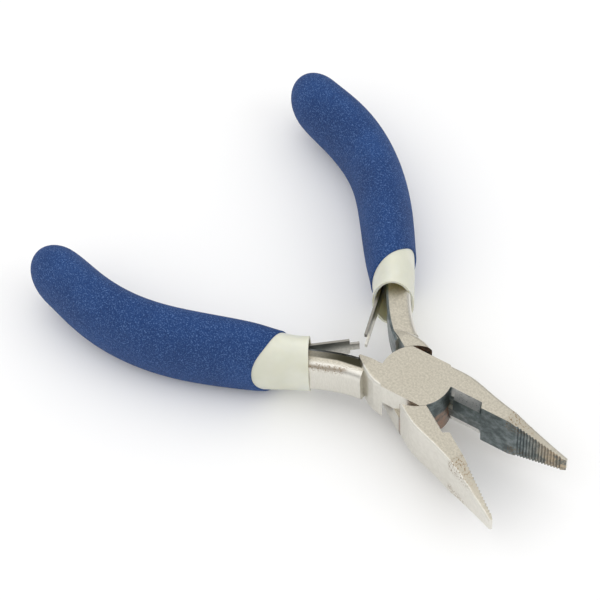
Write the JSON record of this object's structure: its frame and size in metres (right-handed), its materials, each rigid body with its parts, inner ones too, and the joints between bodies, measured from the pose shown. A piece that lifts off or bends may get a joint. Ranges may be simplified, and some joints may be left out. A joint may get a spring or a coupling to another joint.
{
  "type": "mini long nose pliers",
  "caption": "Small spring-opened long-nose pliers with serrated jaws, a side cutter, a riveted lap joint, and soft blue grips over pale sleeves.",
  "frame": {"origin": "centre of the pivot rivet at half the head's thickness", "axes": "+X along the bisector of the open levers towards the jaw tips, +Z along the rivet out of the upper lap plate, +Y towards the side of the upper lever's jaw"},
  "size_m": [0.099, 0.0732, 0.0174],
  "materials": {
    "forged_steel": "satin nickel plated",
    "rivet_steel": "ground flush",
    "spring_steel": "satin",
    "sleeve_plastic": "soft gloss",
    "grip_foam": "matt, fine grained"
  },
  "bodies": {
    "upper_lever": {"lever_upper": "forged_steel", "pivot_rivet": "rivet_steel", "sleeve_upper": "sleeve_plastic", "grip_upper": "grip_foam"},
    "lower_lever": {"lever_lower": "forged_steel", "sleeve_lower": "sleeve_plastic", "grip_lower": "grip_foam"},
    "tongue_leaf": {"leaf_spring_tongue": "spring_steel"},
    "fork_leaf": {"leaf_spring_fork": "spring_steel"}
  },
  "joints": [
    {"name": "pivot", "type": "hinge", "parent": "upper_lever", "child": "lower_lever", "pos_m": [0, 0, 0], "axis": [0, 0, 1], "range_deg": [-7, 32.8]},
    {"name": "tongue_leaf_flex", "type": "hinge", "parent": "upper_lever", "child": "tongue_leaf", "pos_m": [-0.02209, -0.01171, 0], "axis": [0, 0, 1], "range_deg": [-15.2, 3.8]},
    {"name": "fork_leaf_flex", "type": "hinge", "parent": "lower_lever", "child": "fork_leaf", "pos_m": [-0.02209, 0.01171, 0], "axis": [0, 0, 1], "range_deg": [-3.8, 15.2]}
  ],
  "couplings": [
    {"joint": "tongue_leaf_flex", "follows": "pivot", "ratio": -0.46},
    {"joint": "fork_leaf_flex", "follows": "pivot", "ratio": 0.46}
  ]
}
